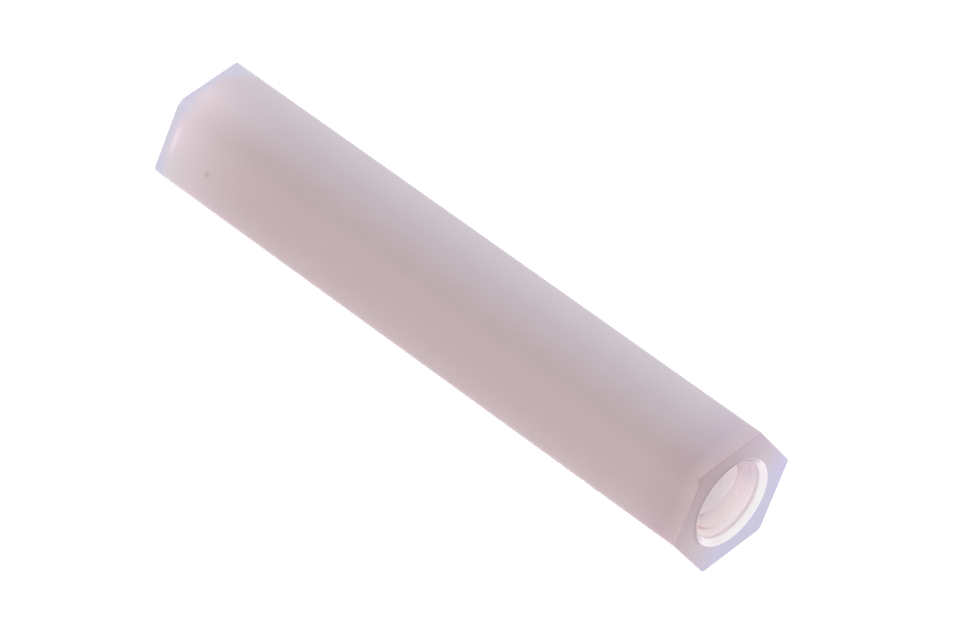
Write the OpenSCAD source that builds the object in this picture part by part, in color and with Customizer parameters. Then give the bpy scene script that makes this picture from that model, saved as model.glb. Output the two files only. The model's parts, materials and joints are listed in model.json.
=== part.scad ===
// Hex standoff: a plastic hexagonal bar that lies on one flat, with a tapped blind hole in each end.
// The bar runs along X, the flat that it lies on is at Z = 0, and the middle of that flat is the origin.

/* [Bar] */
// Distance across opposite flats
across_flats = 4.7625; // [4.25:0.0125:7.5]
// Length from end face to end face
bar_length = 25.4; // [22:0.1:60]
// Radius of the six long edges
long_edge_radius = 0.15; // [0.05:0.01:0.4]
// Width of the 45 degree break round each end face
end_edge_break = 0.05; // [0.03:0.01:0.3]

/* [Tapped holes] */
// Diameter of the tap drill, which is the wall that the thread is cut into
tap_drill_diameter = 2.26; // [1.6:0.01:3]
// Depth from the end face to the end of the full drill diameter
drill_depth = 9.525; // [4:0.025:11]
// Included angle of the drill's point
drill_point_angle = 118; // [90:1:140]
// Diameter of the countersink at the end face
countersink_diameter = 3.35; // [2.6:0.01:3.8]
// Included angle of the countersink
countersink_angle = 90; // [60:1:120]

/* [Hidden] */
$fn = 96;
nylon_colour = [0.85, 0.81, 0.82];
corners = 6;
corner_step = 360 / corners;
half_step = corner_step / 2;

// Half the distance across the flats, and the distance from the axis to a sharp corner
apothem = across_flats / 2;
sharp_corner = apothem / cos(half_step);

// Distance from the axis to the centre of each long edge's rounding
rounding_centre = sharp_corner - long_edge_radius / cos(half_step);

tap_drill_radius = tap_drill_diameter / 2;
countersink_radius = countersink_diameter / 2;

// Depth of the countersink's cone and of the drill's conical end
countersink_slope = tan(countersink_angle / 2);
countersink_depth = (countersink_radius - tap_drill_radius) / countersink_slope;
drill_point_depth = tap_drill_radius / tan(drill_point_angle / 2);

// How far each cutting shape runs out of the bar, so that no cut ends on a face
cut_overrun = 0.5;

// A point where one corner's rounding runs into a flat, on the side that the sign gives
function rounding_end(corner, side) =
    rounding_centre * [cos(corner * corner_step), sin(corner * corner_step)]
    + long_edge_radius * [cos(corner * corner_step + side * half_step), sin(corner * corner_step + side * half_step)];

// Section of the bar: flats at the top and bottom, joined by rounded corners
module bar_section() {
    polygon([for (corner = [0 : corners - 1]) for (side = [-1, 1]) rounding_end(corner, side)]);
    for (corner = [0 : corners - 1])
        rotate(corner * corner_step)
            translate([rounding_centre, 0])
                circle(r = long_edge_radius);
}

// Bar from end to end, along Z about its own axis
module bar() {
    linear_extrude(height = bar_length, center = true)
        bar_section();
}

// The 45 degree break along every edge of the end face at the bar's top
module end_breaks() {
    cut_reach = end_edge_break + cut_overrun;
    for (flat = [0 : corners - 1])
        rotate(half_step + flat * corner_step)
            translate([apothem, 0, bar_length / 2])
                rotate([90, 0, 0])
                    linear_extrude(height = 2 * sharp_corner, center = true)
                        polygon([[cut_overrun, -cut_reach], [cut_overrun, cut_overrun], [-cut_reach, cut_overrun]]);
}

// Space of one hole in the bar's top end: countersink, drilled wall and the drill's conical end
module hole() {
    mouth_radius = countersink_radius + cut_overrun * countersink_slope;
    translate([0, 0, bar_length / 2])
        rotate_extrude()
            polygon([
                [0, cut_overrun],
                [mouth_radius, cut_overrun],
                [tap_drill_radius, -countersink_depth],
                [tap_drill_radius, -drill_depth],
                [0, -drill_depth - drill_point_depth],
            ]);
}

// The whole standoff, laid along X on its lower flat
module standoff() {
    color(nylon_colour)
        translate([0, 0, apothem])
            rotate([90, 0, 90])
                difference() {
                    bar();
                    for (turn = [0, 180])
                        rotate([turn, 0, 0]) {
                            end_breaks();
                            hole();
                        }
                }
}

standoff();
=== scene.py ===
"""Hex standoff of natural nylon: its modelled body, its finish, and the studio that shows it.

Sizes are in millimetres here. They turn into metres where a mesh, a material, a lamp or the camera is made.
"""

import json
import logging
import math
from dataclasses import dataclass, field
from enum import Enum
from typing import Any, Mapping, Sequence

import bpy
import numpy as np
from mathutils import Matrix, Vector


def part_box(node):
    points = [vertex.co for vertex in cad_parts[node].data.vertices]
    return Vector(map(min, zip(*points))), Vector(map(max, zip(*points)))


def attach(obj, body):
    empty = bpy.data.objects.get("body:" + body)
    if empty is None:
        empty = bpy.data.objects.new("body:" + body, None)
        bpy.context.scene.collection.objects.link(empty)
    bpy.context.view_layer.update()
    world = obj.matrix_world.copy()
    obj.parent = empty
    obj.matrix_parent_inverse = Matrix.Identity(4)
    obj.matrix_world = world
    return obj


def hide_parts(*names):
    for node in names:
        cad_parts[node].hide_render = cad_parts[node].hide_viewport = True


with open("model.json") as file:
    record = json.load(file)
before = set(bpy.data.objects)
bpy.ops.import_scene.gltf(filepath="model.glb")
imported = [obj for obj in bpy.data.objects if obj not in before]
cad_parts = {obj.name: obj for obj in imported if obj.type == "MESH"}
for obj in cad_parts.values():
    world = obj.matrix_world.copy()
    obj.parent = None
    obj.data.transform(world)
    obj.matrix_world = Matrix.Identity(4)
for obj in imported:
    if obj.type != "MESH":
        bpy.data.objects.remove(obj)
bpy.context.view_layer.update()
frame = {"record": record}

LOG = logging.getLogger("standoff")
MM = 0.001
NODE = "standoff"
BODY = "root"
HOLE_MOUNT = "front_thread"
HEX_SIDES = 6
HALF_SIDE = math.radians(180 / HEX_SIDES)

Colour = tuple[float, float, float]
Point = tuple[float, float, float]
Span = tuple[float, float]
Socket = bpy.types.NodeSocket


class BarEnd(Enum):
    """One end of the bar, with the sign of X that points out of it."""

    FRONT = 1
    REAR = -1


class Zone(Enum):
    """The part of the surface that a face belongs to, numbered as its material."""

    SKIN = 0
    MOUTH = 1
    HOLE = 2


def srgb(red: int, green: int, blue: int) -> Colour:
    """Turns a screen colour into the linear values that shaders take.

    Args:
        red: Red from 0 to 255.
        green: Green from 0 to 255.
        blue: Blue from 0 to 255.

    Returns:
        The linear red, green and blue.
    """
    def linear(level: int) -> float:
        """Undoes the screen's curve for one channel."""
        share = level / 255
        return share / 12.92 if share <= 0.04045 else ((share + 0.055) / 1.055) ** 2.4

    return linear(red), linear(green), linear(blue)


class Signal:
    """A shader value whose operators add the Math nodes that work it out."""

    def __init__(self, sheet: "ShaderSheet", socket: Socket) -> None:
        """Keeps the socket that gives the value, and the sheet that it is on."""
        self.sheet = sheet
        self.socket = socket

    def _math(self, operation: str, *operands: "Signal | float") -> "Signal":
        """Adds one Math node.

        Args:
            operation: The node's operation.
            operands: Its inputs in order.

        Returns:
            The node's result.
        """
        node = self.sheet.node("ShaderNodeMath", {"operation": operation}, dict(enumerate(operands)))
        return self.sheet.signal(node)

    def __add__(self, other: "Signal | float") -> "Signal":
        """Adds a value or a number."""
        return self._math("ADD", self, other)

    def __radd__(self, other: float) -> "Signal":
        """Adds to a number."""
        return self._math("ADD", other, self)

    def __sub__(self, other: "Signal | float") -> "Signal":
        """Takes away a value or a number."""
        return self._math("SUBTRACT", self, other)

    def __rsub__(self, other: float) -> "Signal":
        """Is taken away from a number."""
        return self._math("SUBTRACT", other, self)

    def __mul__(self, other: "Signal | float") -> "Signal":
        """Multiplies by a value or a number."""
        return self._math("MULTIPLY", self, other)

    def __rmul__(self, other: float) -> "Signal":
        """Multiplies a number."""
        return self._math("MULTIPLY", other, self)

    def __truediv__(self, other: "Signal | float") -> "Signal":
        """Divides by a value or a number."""
        return self._math("DIVIDE", self, other)

    def __pow__(self, other: float) -> "Signal":
        """Raises to a power."""
        return self._math("POWER", self, other)

    def larger(self, other: "Signal") -> "Signal":
        """Takes the larger of two values."""
        return self._math("MAXIMUM", self, other)

    def smaller(self, other: "Signal") -> "Signal":
        """Takes the smaller of two values."""
        return self._math("MINIMUM", self, other)

    def slope(self, start: float, end: float, kind: str = "LINEAR") -> "Signal":
        """Runs from 0 at one value to 1 at another, and stays there beyond them.

        Args:
            start: The value that gives 0.
            end: The value that gives 1, which may be the lower one.
            kind: The way between them, which is straight if not given.

        Returns:
            The value from 0 to 1.
        """
        settings = {"interpolation_type": kind, "clamp": True}
        sockets = {"Value": self, "From Min": start, "From Max": end}
        return self.sheet.signal(self.sheet.node("ShaderNodeMapRange", settings, sockets))

    def ramp(self, start: float, end: float) -> "Signal":
        """Runs smoothly from 0 at one value to 1 at another."""
        return self.slope(start, end, "SMOOTHSTEP")


class ShaderSheet:
    """The node tree of one material or of the world, with short ways to add to it."""

    def __init__(self, tree: bpy.types.NodeTree) -> None:
        """Clears the tree for a new shader."""
        self.tree = tree
        self.tree.nodes.clear()

    def node(
        self,
        kind: str,
        settings: Mapping[str, Any] | None = None,
        sockets: Mapping[Any, Any] | None = None,
    ) -> bpy.types.Node:
        """Adds a node of any type.

        Args:
            kind: The node's type.
            settings: Its own settings, set first.
            sockets: A value or a link for each input, by name or number.

        Returns:
            The new node.
        """
        made = self.tree.nodes.new(kind)
        for name, value in (settings or {}).items():
            setattr(made, name, value)
        for name, value in (sockets or {}).items():
            if isinstance(value, Signal):
                self.tree.links.new(value.socket, made.inputs[name])
            elif isinstance(value, Socket):
                self.tree.links.new(value, made.inputs[name])
            elif isinstance(value, tuple) and made.inputs[name].type == "RGBA":
                made.inputs[name].default_value = (*value, 1.0)
            else:
                made.inputs[name].default_value = value
        return made

    def signal(self, node: bpy.types.Node, output: str | int = 0) -> Signal:
        """Wraps one of a node's outputs."""
        return Signal(self, node.outputs[output])

    def mix(self, share: Signal, first: Any, second: Any, blend: str = "MIX") -> Socket:
        """Blends two colours.

        Args:
            share: How much of the second colour there is.
            first: The colour at 0, as a value or a socket.
            second: The colour at 1, as a value or a socket.
            blend: The way that the second colour goes over the first.

        Returns:
            The blended colour's socket.
        """
        settings = {"data_type": "RGBA", "clamp_factor": True, "blend_type": blend}
        made = self.node("ShaderNodeMix", settings, {0: share, 6: first, 7: second})
        return made.outputs[2]

    def tinted(self, share: Signal, colour: Any, tint: Colour) -> Socket:
        """Multiplies a colour by a tint, as far as the share says."""
        return self.mix(share, colour, tint, "MULTIPLY")

    def stretched(self, point: Socket, scale: Point) -> Socket:
        """Multiplies a place by a number for each axis."""
        return self.node("ShaderNodeVectorMath", {"operation": "MULTIPLY"}, {0: point, 1: scale}).outputs[0]

    def distance(self, point: Socket, place: Point) -> Signal:
        """Measures how far a place is from a fixed one.

        Args:
            point: The place, in metres.
            place: The fixed place, in millimetres.

        Returns:
            The distance in millimetres.
        """
        fixed = tuple(value * MM for value in place)
        node = self.node("ShaderNodeVectorMath", {"operation": "DISTANCE"}, {0: point, 1: fixed})
        return self.signal(node, "Value") / MM

    def noise(self, point: Socket, scale: float, detail: float, roughness: float = 0.55) -> Signal:
        """Adds soft noise from 0 to 1."""
        sockets = {"Vector": point, "Scale": scale, "Detail": detail, "Roughness": roughness}
        return self.signal(self.node("ShaderNodeTexNoise", {}, sockets))

    def surface(self, shader: bpy.types.Node) -> None:
        """Makes a shader the one that shows."""
        self.node("ShaderNodeOutputMaterial", {}, {"Surface": shader.outputs[0]})


@dataclass(frozen=True)
class ThreadForm:
    """A right-hand 60 degree screw thread inside a hole."""

    pitch: float = 0.635
    major_diameter: float = 2.845
    tapped_depth: float = 7.9
    root_flat_share: float = 0.125
    flank_angle: float = 30.0
    crest_growth: float = 0.65
    spare_turns: int = 3

    def profile(self, wall_radius: float) -> list[tuple[float, float]]:
        """Lists the corners and flank points of one turn.

        Args:
            wall_radius: Radius of the drilled wall, where the crests are.

        Returns:
            Pairs of place along the turn, from 0 to 1, and radius.
        """
        root_radius = self.major_diameter / 2
        flank = (root_radius - wall_radius) * math.tan(math.radians(self.flank_angle)) / self.pitch
        crest = 1 - 2 * flank - self.root_flat_share
        root_start = crest + flank
        root_end = root_start + self.root_flat_share
        middle = (wall_radius + root_radius) / 2
        return [
            (0.0, wall_radius),
            (crest / 2, wall_radius),
            (crest, wall_radius),
            (crest + flank / 2, middle),
            (root_start, root_radius),
            ((root_start + root_end) / 2, root_radius),
            (root_end, root_radius),
            (root_end + flank / 2, middle),
        ]


@dataclass(frozen=True)
class Knock:
    """A shallow scoop that a knock has left at an edge or a corner.

    The place is where the undamaged edge was, from the bar's middle and about its axis, and facing
    points out of the bar there.
    """

    place: Point
    facing: Point
    depth: float
    reach: float

    def dent(self, points: np.ndarray) -> np.ndarray:
        """Pushes the points that stand in the scoop back to its floor.

        Args:
            points: Points in millimetres about the bar's axis.

        Returns:
            The points, with those in the scoop moved.
        """
        out = np.array(self.facing) / np.linalg.norm(self.facing)
        offset = points - np.array(self.place)
        height = offset @ out
        aside = np.linalg.norm(offset - np.outer(height, out), axis=1)
        floor = self.depth * ((aside / self.reach) ** 2 - 1)
        over = np.where((aside < self.reach) & (abs(height) < self.reach), np.maximum(height - floor, 0), 0)
        return points - np.outer(over, out)


@dataclass
class SurfaceNet:
    """Points and faces of one closed surface, gathered ring by ring."""

    points: list[Point] = field(default_factory=list)
    faces: list[tuple[int, ...]] = field(default_factory=list)
    zones: list[int] = field(default_factory=list)
    zone: Zone = Zone.SKIN

    def add_point(self, point: Sequence[float]) -> int:
        """Adds a point and returns its number."""
        self.points.append((float(point[0]), float(point[1]), float(point[2])))
        return len(self.points) - 1

    def add_ring(self, points: np.ndarray) -> list[int]:
        """Adds a closed row of points and returns their numbers."""
        return [self.add_point(point) for point in points]

    def add_face(self, *corners: int) -> None:
        """Adds a face of the present zone, without the corners that fall together.

        Args:
            corners: The corners' point numbers in order.
        """
        kept = [c for i, c in enumerate(corners) if c != corners[i - 1]]
        if len(set(kept)) >= 3:
            self.faces.append(tuple(kept))
            self.zones.append(self.zone.value)

    def bridge(self, first: Sequence[int], second: Sequence[int]) -> None:
        """Joins two rings of the same count with a band of faces.

        Args:
            first: The first ring's point numbers.
            second: The second ring's point numbers.
        """
        count = len(first)
        for k in range(count):
            after = (k + 1) % count
            self.add_face(first[k], second[k], second[after], first[after])

    def cap(self, ring: Sequence[int], tip: int, tip_first: bool) -> None:
        """Closes a ring with a fan of faces to one point.

        Args:
            ring: The ring's point numbers.
            tip: The point's number.
            tip_first: Whether the tip comes before the ring on the surface.
        """
        count = len(ring)
        for k in range(count):
            after = (k + 1) % count
            if tip_first:
                self.add_face(tip, ring[k], ring[after])
            else:
                self.add_face(ring[k], tip, ring[after])


@dataclass
class HexStandoff:
    """The nylon bar with its rounded section and the tapped hole in each end."""

    length: float
    across_flats: float
    wall_radius: float
    drill_depth: float
    thread: ThreadForm = field(default_factory=ThreadForm)
    long_edge_radius: float = 0.15
    end_edge_radius: float = 0.05
    countersink_diameter: float = 3.35
    countersink_angle: float = 90.0
    lead_in_diameter: float = 3.0
    lead_in_depth: float = 0.3
    drill_point_angle: float = 118.0
    rim_radius: float = 0.03
    rim_inset: float = 0.3
    rim_curve: float = 1.6
    chip_facing: Point = (-0.5, -0.45, 0.74)
    chip_depth: float = 0.1
    chip_reach: float = 0.5
    nick_offset: float = 1.19
    nick_facing: Point = (0.0, 0.5, 0.87)
    nick_depth: float = 0.09
    nick_reach: float = 0.14
    corner_steps: int = 6
    flat_steps: int = 28
    side_rings: int = 34
    side_start: float = 0.04
    nick_rings: int = 9
    nick_room: float = 1.2
    point_shares: tuple[float, ...] = (0.3, 0.65, 1.0)
    rim_shares: tuple[float, ...] = (0.0, 0.5, 1.0)
    face_shares: tuple[float, ...] = (0.08, 0.2, 0.35, 0.5, 0.65, 0.8, 0.9, 0.96)
    edge_turns: tuple[float, ...] = (0.0, 22.5, 45.0, 67.5, 90.0)
    sharp_angle: float = 32.0
    net: SurfaceNet = field(default_factory=SurfaceNet)

    @classmethod
    def from_frame(cls) -> "HexStandoff":
        """Takes the bar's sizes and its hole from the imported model.

        Returns:
            The standoff, not built yet.
        """
        low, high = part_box(NODE)
        hole = next(m for m in frame["record"]["mounts"] if m["name"] == HOLE_MOUNT)
        wall_radius = hole["dims"]["r_mm"]
        countersink_slope = math.tan(math.radians(cls.countersink_angle / 2))
        countersink_depth = (cls.countersink_diameter / 2 - wall_radius) / countersink_slope
        return cls(
            length=(high.x - low.x) / MM,
            across_flats=(high.z - low.z) / MM,
            wall_radius=wall_radius,
            drill_depth=hole["dims"]["length_mm"] + countersink_depth,
        )

    @property
    def apothem(self) -> float:
        """Half the distance across the flats, which is also the axis's height."""
        return self.across_flats / 2

    @property
    def corner(self) -> float:
        """Distance from the axis to where two flats would meet."""
        return self.apothem / math.cos(HALF_SIDE)

    def chip(self) -> Knock:
        """Places the chip at the front upper corner of the rear end."""
        place = (-self.length / 2, -self.corner / 2, self.apothem)
        return Knock(place, self.chip_facing, self.chip_depth, self.chip_reach)

    def nick(self) -> Knock:
        """Places the nick on the upper back edge, a little way from the rear end."""
        place = (self.nick_offset - self.length / 2, self.corner / 2, self.apothem)
        return Knock(place, self.nick_facing, self.nick_depth, self.nick_reach)

    def outline(self) -> tuple[np.ndarray, np.ndarray]:
        """Works out the section's outline, corner by corner from +Y towards +Z.

        Returns:
            The outline's points in Y and Z about the axis, and its outward normals.
        """
        centre = (self.apothem - self.long_edge_radius) / math.cos(HALF_SIDE)
        points: list[np.ndarray] = []
        normals: list[np.ndarray] = []
        for corner in range(HEX_SIDES):
            middle = corner * 2 * HALF_SIDE
            after = middle + 2 * HALF_SIDE
            hub = centre * np.array((math.cos(middle), math.sin(middle)))
            for step in range(self.corner_steps + 1):
                turn = middle + HALF_SIDE * (2 * step / self.corner_steps - 1)
                normal = np.array((math.cos(turn), math.sin(turn)))
                points.append(hub + self.long_edge_radius * normal)
                normals.append(normal)
            start = points[-1]
            next_hub = centre * np.array((math.cos(after), math.sin(after)))
            end = next_hub + self.long_edge_radius * normals[-1]
            for step in range(1, self.flat_steps):
                # Points lie closer together near the corners
                even = step / self.flat_steps
                eased = (1 - math.cos(math.pi * even)) / 2
                points.append(start + (end - start) * (even + eased) / 2)
                normals.append(normals[-1])
        return np.array(points), np.array(normals)

    def place(self, end: BarEnd, depth: np.ndarray | float, across: np.ndarray) -> np.ndarray:
        """Turns points of a section at a depth below an end face into points about the axis.

        Args:
            end: The end that the depth is counted from.
            depth: Depth below the end face, one for all points or one each.
            across: The points' Y and Z about the axis.

        Returns:
            The points in millimetres.
        """
        x = end.value * (self.length / 2 - np.broadcast_to(depth, len(across)))
        return np.column_stack((x, across[:, 0], across[:, 1]))

    def thread_radius(self, depth: float, radius: float) -> float:
        """Works out the thread's radius where it grows out of the lead-in or fades out.

        Args:
            depth: Depth below the end face.
            radius: The full thread's radius there.

        Returns:
            The radius to use.
        """
        lead_radius = self.lead_in_diameter / 2
        fade = min(1.0, (self.thread.tapped_depth - depth) / self.thread.pitch)
        grown = min(1.0, (depth - self.lead_in_depth) / self.thread.crest_growth)
        lead = lead_radius + (self.wall_radius - lead_radius) * grown * (2 - grown)
        return max(self.wall_radius + (radius - self.wall_radius) * fade, lead)

    def add_thread(self, end: BarEnd, mouth: list[int], foot: list[int], turns: np.ndarray) -> None:
        """Fills the hole between its lead-in and the end of its thread, along the helix.

        Args:
            end: The end that the hole opens from.
            mouth: The ring at the lead-in's inner end.
            foot: The ring where the tap stopped.
            turns: The columns' angles as shares of a full turn.
        """
        profile = self.thread.profile(self.wall_radius)
        steps = len(profile)
        pitch = self.thread.pitch
        rows = steps * (int(self.thread.tapped_depth / pitch) + self.thread.spare_turns)
        count = len(turns)
        known: dict[tuple[int, int], int] = {}

        def point(row: int, column: int) -> int:
            """Finds or makes the point of one row and column of the helix.

            Args:
                row: The row along the hole.
                column: The column round it, where the count means the first one again.

            Returns:
                The point's number.
            """
            if column == count:
                row -= end.value * steps
                column = 0
            turn, step = divmod(row, steps)
            share, radius = profile[step]
            depth = (turn - 1 + share - end.value * turns[column]) * pitch
            if depth <= self.lead_in_depth:
                return mouth[column]
            if depth >= self.thread.tapped_depth:
                return foot[column]
            if (row, column) not in known:
                angle = turns[column] * math.tau
                ray = np.array([[math.cos(angle), math.sin(angle)]])
                across = self.thread_radius(depth, radius) * ray
                known[row, column] = self.net.add_point(self.place(end, depth, across)[0])
            return known[row, column]

        for row in range(-steps, rows):
            for column in range(count):
                corners = (
                    point(row, column),
                    point(row, column + 1),
                    point(row + 1, column + 1),
                    point(row + 1, column),
                )
                self.net.add_face(*(corners if end is BarEnd.FRONT else corners[::-1]))

    def hole_rings(self, end: BarEnd, circle: np.ndarray) -> tuple[int, list[list[int]], list[list[int]]]:
        """Places the drilled hole's rings below the thread, and its mouth's rings above it.

        Args:
            end: The end that the hole opens from.
            circle: The columns' directions from the axis.

        Returns:
            The drill point's tip, the rings from there to the thread, and those from the thread
            to the end face.
        """
        point_depth = self.wall_radius / math.tan(math.radians(self.drill_point_angle / 2))
        tip = self.net.add_point(self.place(end, self.drill_depth + point_depth, np.zeros((1, 2)))[0])
        drilled: list[list[int]] = []
        for share in self.point_shares:
            depth = self.drill_depth + point_depth * (1 - share)
            drilled.append(self.net.add_ring(self.place(end, depth, circle * self.wall_radius * share)))
        for depth in ((self.drill_depth + self.thread.tapped_depth) / 2, self.thread.tapped_depth):
            drilled.append(self.net.add_ring(self.place(end, depth, circle * self.wall_radius)))
        mouth_radius = self.countersink_diameter / 2
        lead_radius = self.lead_in_diameter / 2
        cone_depth = (mouth_radius - lead_radius) / math.tan(math.radians(self.countersink_angle / 2))
        profile = [(lead_radius, self.lead_in_depth), (lead_radius, cone_depth)]
        for share in self.rim_shares:
            radius = mouth_radius + self.rim_radius * ((1 + self.rim_inset) * share - self.rim_inset)
            profile.append((radius, self.rim_radius * (1 - share) ** self.rim_curve))
        mouth = [self.net.add_ring(self.place(end, depth, circle * radius)) for radius, depth in profile]
        return tip, drilled, mouth

    def face_rings(
        self, end: BarEnd, rim: np.ndarray, section: np.ndarray, normals: np.ndarray
    ) -> list[list[int]]:
        """Places the rings of an end face and of its rounded outer edge.

        Args:
            end: The end that the face closes.
            rim: The countersink's rim.
            section: The outline's points.
            normals: The outline's normals.

        Returns:
            The rings from the hole outwards, without the rim itself.
        """
        rings: list[list[int]] = []
        edge = section - normals * self.end_edge_radius
        for share in self.face_shares:
            rings.append(self.net.add_ring(self.place(end, 0.0, rim + (edge - rim) * share)))
        for turn in self.edge_turns:
            lean = math.radians(turn)
            inset = self.end_edge_radius * (1 - math.sin(lean))
            depth = self.end_edge_radius * (1 - math.cos(lean))
            rings.append(self.net.add_ring(self.place(end, depth, section - normals * inset)))
        return rings

    def build_end(self, end: BarEnd, section: np.ndarray, normals: np.ndarray) -> list[int]:
        """Builds one end from its drill point to the edge of its end face.

        Args:
            end: The end to build.
            section: The outline's points.
            normals: The outline's normals.

        Returns:
            The ring where the end's edge runs into the flats.
        """
        angles = np.unwrap(np.arctan2(section[:, 1], section[:, 0]))
        circle = np.column_stack((np.cos(angles), np.sin(angles)))
        tip, drilled, mouth = self.hole_rings(end, circle)
        rim = circle * (self.countersink_diameter / 2 + self.rim_radius)
        faces = [mouth[-1], *self.face_rings(end, rim, section, normals)]
        front = end is BarEnd.FRONT
        for zone, rings in ((Zone.HOLE, drilled), (Zone.MOUTH, mouth), (Zone.SKIN, faces)):
            self.net.zone = zone
            for inner, outer in zip(rings, rings[1:]):
                self.net.bridge(*((inner, outer) if front else (outer, inner)))
        self.net.zone = Zone.HOLE
        self.net.cap(drilled[0], tip, tip_first=front)
        self.add_thread(end, mouth[0], drilled[-1], angles / math.tau)
        self.net.zone = Zone.SKIN
        return faces[-1]

    def side_depths(self) -> np.ndarray:
        """Lists the places of the rings along the flats, closer near the ends and at the nick.

        Returns:
            The rings' depths below the front end face, in order.
        """
        half = np.geomspace(self.end_edge_radius + self.side_start, self.length / 2, self.side_rings)
        nick = self.nick()
        room = np.linspace(-self.nick_room, self.nick_room, self.nick_rings) * nick.reach
        fine = self.length / 2 - nick.place[0] + room
        whole = np.concatenate((half, self.length - half[:-1], fine))
        # Rings that would fall together are kept once
        return np.unique(whole.round(4))

    def build(self) -> bpy.types.Object:
        """Builds the whole bar as one closed mesh.

        Returns:
            The bar's object, riding on its body in place of the plain solid.
        """
        section, normals = self.outline()
        front = self.build_end(BarEnd.FRONT, section, normals)
        rear = self.build_end(BarEnd.REAR, section, normals)
        sides = [
            self.net.add_ring(self.place(BarEnd.FRONT, depth, section))
            for depth in self.side_depths()
        ]
        chain = [front, *sides, rear]
        for first, second in zip(chain, chain[1:]):
            self.net.bridge(first, second)
        points = np.array(self.net.points)
        for knock in (self.chip(), self.nick()):
            points = knock.dent(points)
        points = (points + (0.0, 0.0, self.apothem)) * MM
        mesh = bpy.data.meshes.new("standoff_bar")
        mesh.from_pydata(points.tolist(), [], self.net.faces)
        mesh.polygons.foreach_set("material_index", self.net.zones)
        mesh.validate()
        mesh.shade_smooth()
        mesh.set_sharp_from_angle(angle=math.radians(self.sharp_angle))
        bar = bpy.data.objects.new("standoff_bar", mesh)
        bpy.context.scene.collection.objects.link(bar)
        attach(bar, BODY)
        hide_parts(NODE)
        return bar

    def dress(self, bar: bpy.types.Object, finish: "NaturalNylon") -> None:
        """Gives each zone of the bar its finish.

        Args:
            bar: The bar's object.
            finish: The nylon.
        """
        for zone in Zone:
            bar.data.materials.append(finish.material(zone, self))


class BarPlace:
    """Where a point of the bar's surface is, as shader values in millimetres."""

    def __init__(self, sheet: ShaderSheet, bar: HexStandoff) -> None:
        """Reads the place, and works out the depths and the radius from it.

        Args:
            sheet: The material's sheet.
            bar: The bar, for its sizes.
        """
        self.point = sheet.node("ShaderNodeTexCoord").outputs["Object"]
        axes = sheet.node("ShaderNodeSeparateXYZ", {}, {0: self.point})
        along = sheet.signal(axes, 0) / MM
        self.across = sheet.signal(axes, 1) / MM
        self.up = sheet.signal(axes, 2) / MM - bar.apothem
        self.radius = (self.across * self.across + self.up * self.up) ** 0.5
        self.front_depth = bar.length / 2 - along
        self.rear_depth = bar.length / 2 + along
        self.depth = self.front_depth.smaller(self.rear_depth)

    def towards(self, degrees: float) -> Signal:
        """Tells on which side of the axis a point lies.

        Args:
            degrees: The side's direction, turned from +Y towards +Z.

        Returns:
            1 on that side, and down to -1 on the opposite one.
        """
        turn = math.radians(degrees)
        return (self.across * math.cos(turn) + self.up * math.sin(turn)) / self.radius


@dataclass(frozen=True)
class Fleck:
    """A small dark spot in the nylon: its place in the frame, its radius and its strength."""

    place: Point
    radius: float
    strength: float
    core: float = 0.2

    def spot(self, sheet: ShaderSheet, point: Socket) -> Signal:
        """Works out how much of the dirt shows at a point."""
        inside = sheet.distance(point, self.place).ramp(self.radius, self.core * self.radius)
        return inside * self.strength


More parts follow.
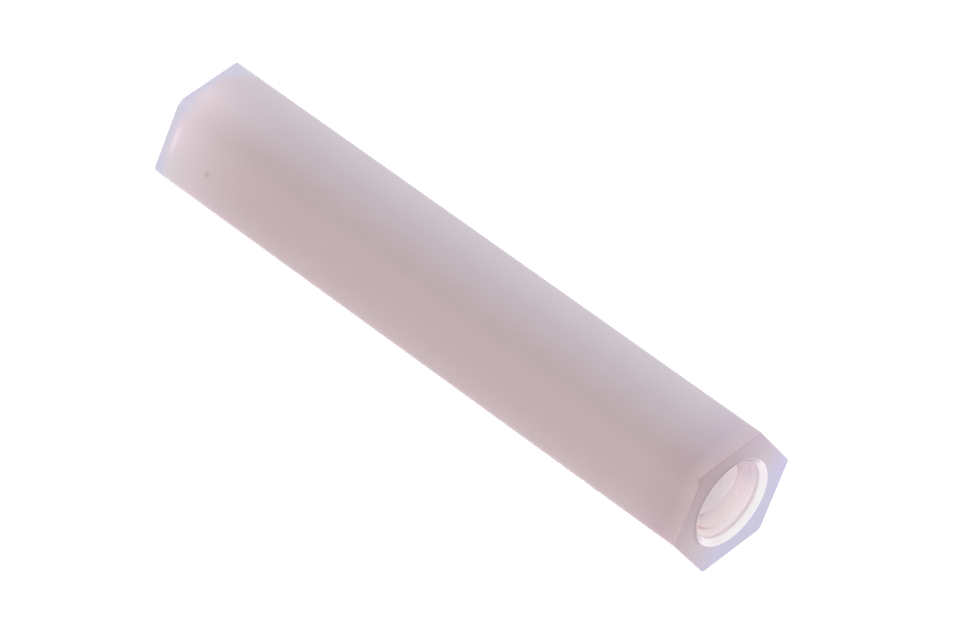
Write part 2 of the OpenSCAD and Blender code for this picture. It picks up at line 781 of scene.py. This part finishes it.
@dataclass(frozen=True)
class NaturalNylon:
    """Uncoloured nylon: a clouded pink-grey body, with painted light where light comes through thin walls
    and at the ends, and painted shade on the dull sides.

    Names that end in tint are what a colour is multiplied by. A span gives the place where a colour
    starts and the place where it is full: a depth below an end face, a height from the axis, a
    distance across, or a share of the way towards the lit side.
    """

    ridge: Colour = srgb(190, 172, 174)
    front_flat: Colour = srgb(196, 177, 179)
    # Painted light: these colours grow paler towards the back edge, the low edge and the underside.
    top_middle_light: Colour = srgb(196, 184, 192)
    back_edge_light: Colour = srgb(209, 201, 209)
    low_edge_light: Colour = srgb(208, 190, 194)
    underside_light: Colour = srgb(221, 210, 214)
    ridge_width: float = 0.4
    low_edge_width: float = 0.5
    low_edge_curve: float = 2.0

    # Painted shade towards the front end, and painted light in a pale margin at the end itself.
    front_shade_tint: Colour = (0.963, 0.92, 0.958)
    front_span: Span = (2.6, 0.6)
    front_glow: Colour = srgb(212, 193, 196)
    front_glow_span: Span = (0.75, 0.1)
    front_glow_share: float = 0.4

    # Painted light at the rear end: a glow, a lavender rim and a pale streak, with painted shade low on the
    # front.
    rear_glow: Colour = srgb(229, 214, 221)
    rear_glow_span: Span = (6.5, 0.4)
    rear_glow_across: Span = (1.2, -0.6)
    rear_glow_back: float = 0.25
    rear_glow_curve: float = 3.0
    rear_low_shade_tint: Colour = (0.93, 0.98, 0.96)
    rear_low_span: Span = (1.7, 0.9)
    rear_low_height: Span = (1.3, 0.5)
    rear_low_across: Span = (0.0, -1.5)
    rear_rim_light: Colour = srgb(211, 207, 223)
    rear_rim_span: Span = (0.62, 0.0)
    rear_rim_back: float = 0.35
    rear_rim_back_start: float = 0.3
    rear_rim_corner: float = 0.3
    rear_rim_corner_curve: float = 1.5
    streak_light: Colour = srgb(236, 222, 232)
    streak_near: Span = (0.6, 0.46)
    streak_far: Span = (0.32, 0.42)
    streak_top: Span = (1.8, 1.5)
    streak_foot: Span = (0.6, 1.0)
    streak_across: Span = (0.0, -1.0)

    # Painted light and shade on the end faces, from the dull side to the lit side.
    lit_side: float = -60.0
    face_shaded: Colour = srgb(172, 146, 156)
    face_middle: Colour = srgb(198, 184, 195)
    face_lit: Colour = srgb(196, 191, 216)
    face_middle_curve: float = 0.7
    face_thin_end: float = 0.6
    face_warm_tint: Colour = (0.99, 0.94, 0.9)
    face_warm_across: Span = (-0.8, -2.6)
    face_cool_light_tint: Colour = (1.03, 1.0, 1.12)
    face_cool_radius: Span = (1.9, 2.5)
    face_cool_across: Span = (0.2, 1.4)
    face_cool_height: Span = (-1.5, 0.0)
    # Painted shade along the hole's rim.
    rim_shade_tint: Colour = (0.7, 0.66, 0.7)
    rim_radius: Span = (1.96, 1.7)
    rim_side: float = 140.0
    rim_span: Span = (0.25, 0.75)
    rim_curve: float = 2.0
    face_depth: Span = (0.022, 0.006)

    hole: Colour = srgb(255, 210, 213)
    hole_pale: Colour = srgb(255, 227, 245)
    hole_pale_start: Span = (0.6, 2.2)
    hole_pale_end: Span = (4.5, 2.8)
    # Painted shade on the hole's upper back side and in the thread's grooves.
    hole_shade_tint: Colour = (0.48, 0.58, 0.68)
    hole_shade_side: float = 30.0
    hole_shade_span: Span = (-0.15, 0.85)
    hole_shade_depth: Span = (1.28, 0.4)
    groove_shade_tint: Colour = (0.99, 0.965, 0.985)
    groove_depth: Span = (0.5, 0.9)
    groove_crest: float = 0.05
    groove_root: float = 0.03

    # Painted light and shade in the countersink and the lead-in, with a painted bright crescent.
    lead_in_lit: Colour = srgb(255, 244, 251)
    cone_shade: Colour = srgb(196, 178, 188)
    cone_shade_span: Span = (-0.45, 0.3)
    cone_edge_light: Colour = srgb(255, 239, 244)
    cone_lit: Colour = srgb(255, 249, 254)
    cone_lit_span: Span = (0.5, 0.9)
    crescent_start: float = 0.65
    crescent_growth: float = 0.55
    crescent_blur: float = 0.2
    crescent_span: Span = (-0.3, 0.2)

    dirt: Colour = srgb(164, 140, 128)
    flecks: tuple[Fleck, ...] = (
        Fleck((-10.448, -2.229, 3.283), radius=0.17, strength=0.35),
        Fleck((12.7, -1.455, 4.51), radius=0.2, strength=0.5),
    )

    cloud_tint: Colour = (0.965, 0.96, 0.965)
    cloud_share: float = 0.6
    cloud_scale: float = 700.0
    drawn_scale: float = 9000.0
    drawn_stretch: Point = (0.04, 1.0, 1.0)
    drawn_strength: float = 0.1
    drawn_depth: float = 0.012
    scatter: Colour = (1.0, 1.0, 1.0)
    skin_scatter_depth: float = 0.1
    hole_scatter_depth: float = 10.0
    skin_roughness: float = 0.08
    hole_roughness: float = 0.6
    cloud_roughness: float = 0.12
    index: float = 1.53

    def flats_colour(self, sheet: ShaderSheet, place: BarPlace, bar: HexStandoff) -> Socket:
        """Works out the flats' colour along the middle of the bar, with painted light making it paler
        towards the back edge, the low edge and the underside.

        Args:
            sheet: The material's sheet.
            place: The place on the bar.
            bar: The bar, for its sizes.

        Returns:
            The colour's socket.
        """
        half = bar.corner / 2
        across, up = place.across, place.up
        tint = sheet.mix(across.slope(-half, -half - self.ridge_width), self.ridge, self.front_flat)
        # Painted light: the top flat grows paler towards the back edge.
        tint = sheet.mix(across.slope(-half, 0.0), tint, self.top_middle_light)
        tint = sheet.mix(across.slope(0.0, half), tint, self.back_edge_light)
        # Painted light: paler along the low front edge and on the underside, as if lit from the table.
        low = up.slope(bar.apothem / 2, 0.0) ** self.low_edge_curve
        low = low * across.ramp(-half, -half - self.low_edge_width)
        tint = sheet.mix(low, tint, self.low_edge_light)
        return sheet.mix(up.slope(0.0, -bar.apothem), tint, self.underside_light)

    def front_colour(self, sheet: ShaderSheet, place: BarPlace, flats: Socket) -> Socket:
        """Lays the painted shade and the painted light of the pale margin at the front end over the flats.

        Args:
            sheet: The material's sheet.
            place: The place on the bar.
            flats: The flats' colour.

        Returns:
            The colour's socket.
        """
        # Painted shade towards the front end, then a painted pale margin of light at the end itself.
        tint = sheet.tinted(place.front_depth.ramp(*self.front_span), flats, self.front_shade_tint)
        glow = place.front_depth.ramp(*self.front_glow_span) * self.front_glow_share
        return sheet.mix(glow, tint, self.front_glow)

    def rear_colour(self, sheet: ShaderSheet, place: BarPlace, bar: HexStandoff, flats: Socket) -> Socket:
        """Lays the painted light of the rear end over the flats: a glow, a lavender rim and a pale streak,
        with painted shade low on its front.

        Args:
            sheet: The material's sheet.
            place: The place on the bar.
            bar: The bar, for its sizes.
            flats: The flats' colour.

        Returns:
            The colour's socket.
        """
        depth, across, up = place.rear_depth, place.across, place.up
        # Painted light: a glow towards the rear end.
        front_share = self.rear_glow_back + (1 - self.rear_glow_back) * across.ramp(*self.rear_glow_across)
        glow = depth.slope(*self.rear_glow_span) ** self.rear_glow_curve * front_share
        tint = sheet.mix(glow, flats, self.rear_glow)
        # Painted shade dims the glow low on the front.
        low = depth.ramp(*self.rear_low_span) * up.ramp(*self.rear_low_height)
        tint = sheet.tinted(low * across.ramp(*self.rear_low_across), tint, self.rear_low_shade_tint)
        # Painted light: a lavender rim along the rear end's edge.
        back = self.rear_rim_back * across.ramp(self.rear_rim_back_start, bar.corner / 2)
        corner = place.radius.slope(bar.apothem, bar.corner) ** self.rear_rim_corner_curve
        rim = depth - back - self.rear_rim_corner * corner
        tint = sheet.mix(rim.ramp(*self.rear_rim_span), tint, self.rear_rim_light)
        # Painted light: a pale streak on the front flat near the rear end.
        line = depth.ramp(*self.streak_far) * depth.ramp(*self.streak_near)
        line = line * up.ramp(*self.streak_foot) * up.ramp(*self.streak_top)
        return sheet.mix(line * across.ramp(*self.streak_across), tint, self.streak_light)

    def face_colour(self, sheet: ShaderSheet, place: BarPlace) -> Socket:
        """Works out the end faces' colour, painted from shade on the dull side to light on the side that
        light comes through, with painted shade round the hole's rim.

        Args:
            sheet: The material's sheet.
            place: The place on the bar.

        Returns:
            The colour's socket.
        """
        across, up, radius = place.across, place.up, place.radius
        lit = place.towards(self.lit_side)
        # Painted shade on the dull side and painted light on the lit side.
        face = sheet.mix(lit.slope(-1.0, 0.0) ** self.face_middle_curve, self.face_shaded, self.face_middle)
        face = sheet.mix(lit.slope(0.0, self.face_thin_end), face, self.face_lit)
        face = sheet.tinted(across.slope(*self.face_warm_across), face, self.face_warm_tint)
        # Painted light: paler and bluer low on the back of the face.
        cool = radius.slope(*self.face_cool_radius) * across.slope(*self.face_cool_across)
        face = sheet.tinted(cool * up.slope(*self.face_cool_height), face, self.face_cool_light_tint)
        # Painted shade along the hole's rim, on the side turned from the light.
        shade = radius.ramp(*self.rim_radius) ** self.rim_curve
        shade = shade * place.towards(self.rim_side).ramp(*self.rim_span)
        return sheet.tinted(shade, face, self.rim_shade_tint)

    def skin_colour(self, sheet: ShaderSheet, place: BarPlace, bar: HexStandoff) -> Socket:
        """Works out the outside's colour from the place on the bar.

        Args:
            sheet: The material's sheet.
            place: The place on the bar.
            bar: The bar, for its sizes.

        Returns:
            The colour's socket.
        """
        tint = self.flats_colour(sheet, place, bar)
        tint = self.front_colour(sheet, place, tint)
        tint = self.rear_colour(sheet, place, bar, tint)
        tint = sheet.mix(place.depth.ramp(*self.face_depth), tint, self.face_colour(sheet, place))
        for fleck in self.flecks:
            tint = sheet.mix(fleck.spot(sheet, place.point), tint, self.dirt)
        return tint

    def hole_colour(self, sheet: ShaderSheet, place: BarPlace, bar: HexStandoff) -> Socket:
        """Works out the threaded hole's colour, with painted shade on its upper back side near the mouth
        and in the thread's grooves.

        Args:
            sheet: The material's sheet.
            place: The place on the bar.
            bar: The bar, for its sizes.

        Returns:
            The colour's socket.
        """
        root_radius = bar.thread.major_diameter / 2
        groove = place.radius.ramp(bar.wall_radius + self.groove_crest, root_radius - self.groove_root)
        pale = place.depth.ramp(*self.hole_pale_start) * place.depth.ramp(*self.hole_pale_end)
        wall = sheet.mix(pale, self.hole, self.hole_pale)
        # Painted shade on the upper back side near the mouth.
        shade = place.towards(self.hole_shade_side).slope(*self.hole_shade_span)
        shade = shade * place.depth.ramp(*self.hole_shade_depth)
        wall = sheet.tinted(shade, wall, self.hole_shade_tint)
        # Painted shade in the thread's grooves.
        return sheet.tinted(groove * place.depth.ramp(*self.groove_depth), wall, self.groove_shade_tint)

    def mouth_colour(self, sheet: ShaderSheet, place: BarPlace, bar: HexStandoff) -> Socket:
        """Works out the colour of the countersink and the lead-in, with painted shade on the dull side and
        a painted bright crescent of light on the lit side.

        Args:
            sheet: The material's sheet.
            place: The place on the bar.
            bar: The bar, for its sizes.

        Returns:
            The colour's socket.
        """
        lead_radius = bar.lead_in_diameter / 2
        lit = place.towards(self.lit_side)
        outward = (place.radius - lead_radius) / (bar.countersink_diameter / 2 - lead_radius)
        # Painted light: a bright crescent on the lit side of the countersink.
        reach = outward - self.crescent_start + self.crescent_growth * lit.slope(0.0, 1.0)
        crescent = reach.ramp(0.0, self.crescent_blur) * lit.ramp(*self.crescent_span)
        # Painted shade on the dull side and painted light on the lit side.
        cone = sheet.mix(lit.ramp(*self.cone_shade_span), self.cone_shade, self.lead_in_lit)
        edge = sheet.mix(lit.ramp(*self.cone_lit_span), self.cone_edge_light, self.cone_lit)
        return sheet.mix(crescent, cone, edge)

    def material(self, zone: Zone, bar: HexStandoff) -> bpy.types.Material:
        """Makes the finish of one zone.

        Args:
            zone: The zone to dress.
            bar: The bar, for its sizes.

        Returns:
            The material.
        """
        made = bpy.data.materials.new(f"natural_nylon_{zone.name.lower()}")
        made.use_nodes = True
        sheet = ShaderSheet(made.node_tree)
        place = BarPlace(sheet, bar)
        paint = {Zone.SKIN: self.skin_colour, Zone.MOUTH: self.mouth_colour, Zone.HOLE: self.hole_colour}
        scatter_depth, roughness = self.skin_scatter_depth, self.skin_roughness
        if zone is Zone.HOLE:
            scatter_depth, roughness = self.hole_scatter_depth, self.hole_roughness
        cloud = sheet.noise(place.point, self.cloud_scale, detail=3.0)
        colour = sheet.tinted(cloud * self.cloud_share, paint[zone](sheet, place, bar), self.cloud_tint)
        drawn = sheet.noise(sheet.stretched(place.point, self.drawn_stretch), self.drawn_scale, detail=2.0)
        relief = {"Strength": self.drawn_strength, "Distance": self.drawn_depth * MM, "Height": drawn}
        nylon = sheet.node(
            "ShaderNodeBsdfPrincipled",
            {},
            {
                "Base Color": colour,
                "Roughness": roughness + self.cloud_roughness * cloud,
                "IOR": self.index,
                "Normal": sheet.node("ShaderNodeBump", {}, relief).outputs[0],
                "Subsurface Weight": 1.0,
                "Subsurface Radius": self.scatter,
                "Subsurface Scale": scatter_depth * MM,
            },
        )
        sheet.surface(nylon)
        return made


@dataclass(frozen=True)
class Softbox:
    """A square soft lamp that points at the standoff: its size in millimetres, its power in watts."""

    name: str
    place: Point
    size: float
    power: float
    colour: Colour

    def hang(self) -> None:
        """Hangs the lamp in its place."""
        data = bpy.data.lights.new(self.name, "AREA")
        data.size = self.size * MM
        data.energy = self.power
        data.color = self.colour
        lamp = bpy.data.objects.new(self.name, data)
        lamp.location = Vector(self.place) * MM
        lamp.rotation_euler = (-Vector(self.place)).to_track_quat("-Z", "Y").to_euler()
        bpy.context.scene.collection.objects.link(lamp)


@dataclass(frozen=True)
class Studio:
    """A white table that lets light through, in an even room, and the camera at the picture's angle."""

    azimuth: float = 46.72
    elevation: float = 45.68
    roll: float = -1.625
    aim: Point = (0.544, 0.212, 2.181)
    distance: float = 233.2
    lens: float = 256.42
    nearest_seen: float = 10.0
    table_size: float = 6000.0
    table_gap: float = 0.01
    table_paint: float = 0.27
    table_sheer: float = 0.69
    table_glow: float = 0.5
    ambient: float = 1.0
    softboxes: tuple[Softbox, ...] = (
        Softbox("back_softbox", (-250.0, 250.0, 120.0), size=250.0, power=0.03, colour=(0.96, 0.97, 1.0)),
        Softbox("side_softbox", (350.0, 50.0, 150.0), size=250.0, power=0.03, colour=(0.94, 0.95, 1.0)),
        Softbox("front_softbox", (50.0, -350.0, 220.0), size=300.0, power=0.05, colour=(1.0, 0.99, 0.98)),
    )

    def build(self) -> None:
        """Sets up the camera, the room, the table and the lamps."""
        self.camera()
        self.world()
        self.table()
        for softbox in self.softboxes:
            softbox.hang()

    def camera(self) -> None:
        """Sets the camera where the picture was taken from."""
        turn, rise = math.radians(self.azimuth), math.radians(self.elevation)
        back = Vector(
            (math.sin(turn) * math.cos(rise), -math.cos(turn) * math.cos(rise), math.sin(rise))
        )
        data = bpy.data.cameras.new("camera")
        data.lens = self.lens
        data.clip_start = self.nearest_seen * MM
        camera = bpy.data.objects.new("camera", data)
        spin = Matrix.Rotation(math.radians(self.roll), 4, "Z")
        facing = (-back).to_track_quat("-Z", "Y").to_matrix().to_4x4() @ spin
        camera.matrix_world = Matrix.Translation((Vector(self.aim) + back * self.distance) * MM) @ facing
        bpy.context.scene.collection.objects.link(camera)
        bpy.context.scene.camera = camera

    def world(self) -> None:
        """Fills the room with even light, which is white behind and below the table."""
        world = bpy.data.worlds.new("room")
        world.use_nodes = True
        bpy.context.scene.world = world
        sheet = ShaderSheet(world.node_tree)
        room = sheet.node("ShaderNodeBackground", {}, {"Color": (1.0, 1.0, 1.0), "Strength": self.ambient})
        sheet.node("ShaderNodeOutputWorld", {}, {"Surface": room.outputs[0]})

    def table(self) -> None:
        """Makes the table, which lies a hair under the standoff so that no two faces share a place."""
        half = self.table_size / 2 * MM
        top = -self.table_gap * MM
        corners = [(-half, -half, top), (half, -half, top), (half, half, top), (-half, half, top)]
        mesh = bpy.data.meshes.new("table")
        mesh.from_pydata(corners, [], [(0, 1, 2, 3)])
        mesh.materials.append(self.table_white())
        table = bpy.data.objects.new("table", mesh)
        bpy.context.scene.collection.objects.link(table)

    def table_white(self) -> bpy.types.Material:
        """Makes the table's milky white, which glows for the rays that show it and for no others.

        Returns:
            The material.
        """
        made = bpy.data.materials.new("table_white")
        made.use_nodes = True
        sheet = ShaderSheet(made.node_tree)
        paint = sheet.node("ShaderNodeBsdfDiffuse", {}, {"Color": (self.table_paint,) * 3})
        sheer = sheet.node("ShaderNodeBsdfTranslucent", {}, {"Color": (self.table_sheer,) * 3})
        milk = sheet.node("ShaderNodeAddShader", {}, {0: paint.outputs[0], 1: sheer.outputs[0]})
        glow = sheet.node("ShaderNodeEmission", {}, {"Strength": self.table_glow})
        bright = sheet.node("ShaderNodeAddShader", {}, {0: milk.outputs[0], 1: glow.outputs[0]})
        sockets = {0: self.seen(sheet), 1: milk.outputs[0], 2: bright.outputs[0]}
        sheet.surface(sheet.node("ShaderNodeMixShader", {}, sockets))
        return made

    def seen(self, sheet: ShaderSheet) -> Signal:
        """Tells rays that show a surface from rays that only light another.

        Args:
            sheet: The sheet that the rays reach.

        Returns:
            1 for camera, glossy and transmission rays, and 0 for the rest.
        """
        path = sheet.node("ShaderNodeLightPath")
        mirrored = sheet.signal(path, "Is Glossy Ray").larger(sheet.signal(path, "Is Transmission Ray"))
        return mirrored.larger(sheet.signal(path, "Is Camera Ray"))


def main() -> None:
    """Builds the studio and the standoff, and logs the bar's counts of points and faces."""
    logging.basicConfig(level=logging.INFO, format="%(message)s")
    bpy.context.scene.view_settings.view_transform = "Standard"
    Studio().build()
    standoff = HexStandoff.from_frame()
    bar = standoff.build()
    standoff.dress(bar, NaturalNylon())
    LOG.info("%s: %d points, %d faces", bar.name, len(bar.data.vertices), len(bar.data.polygons))


if __name__ == "__main__":
    main()
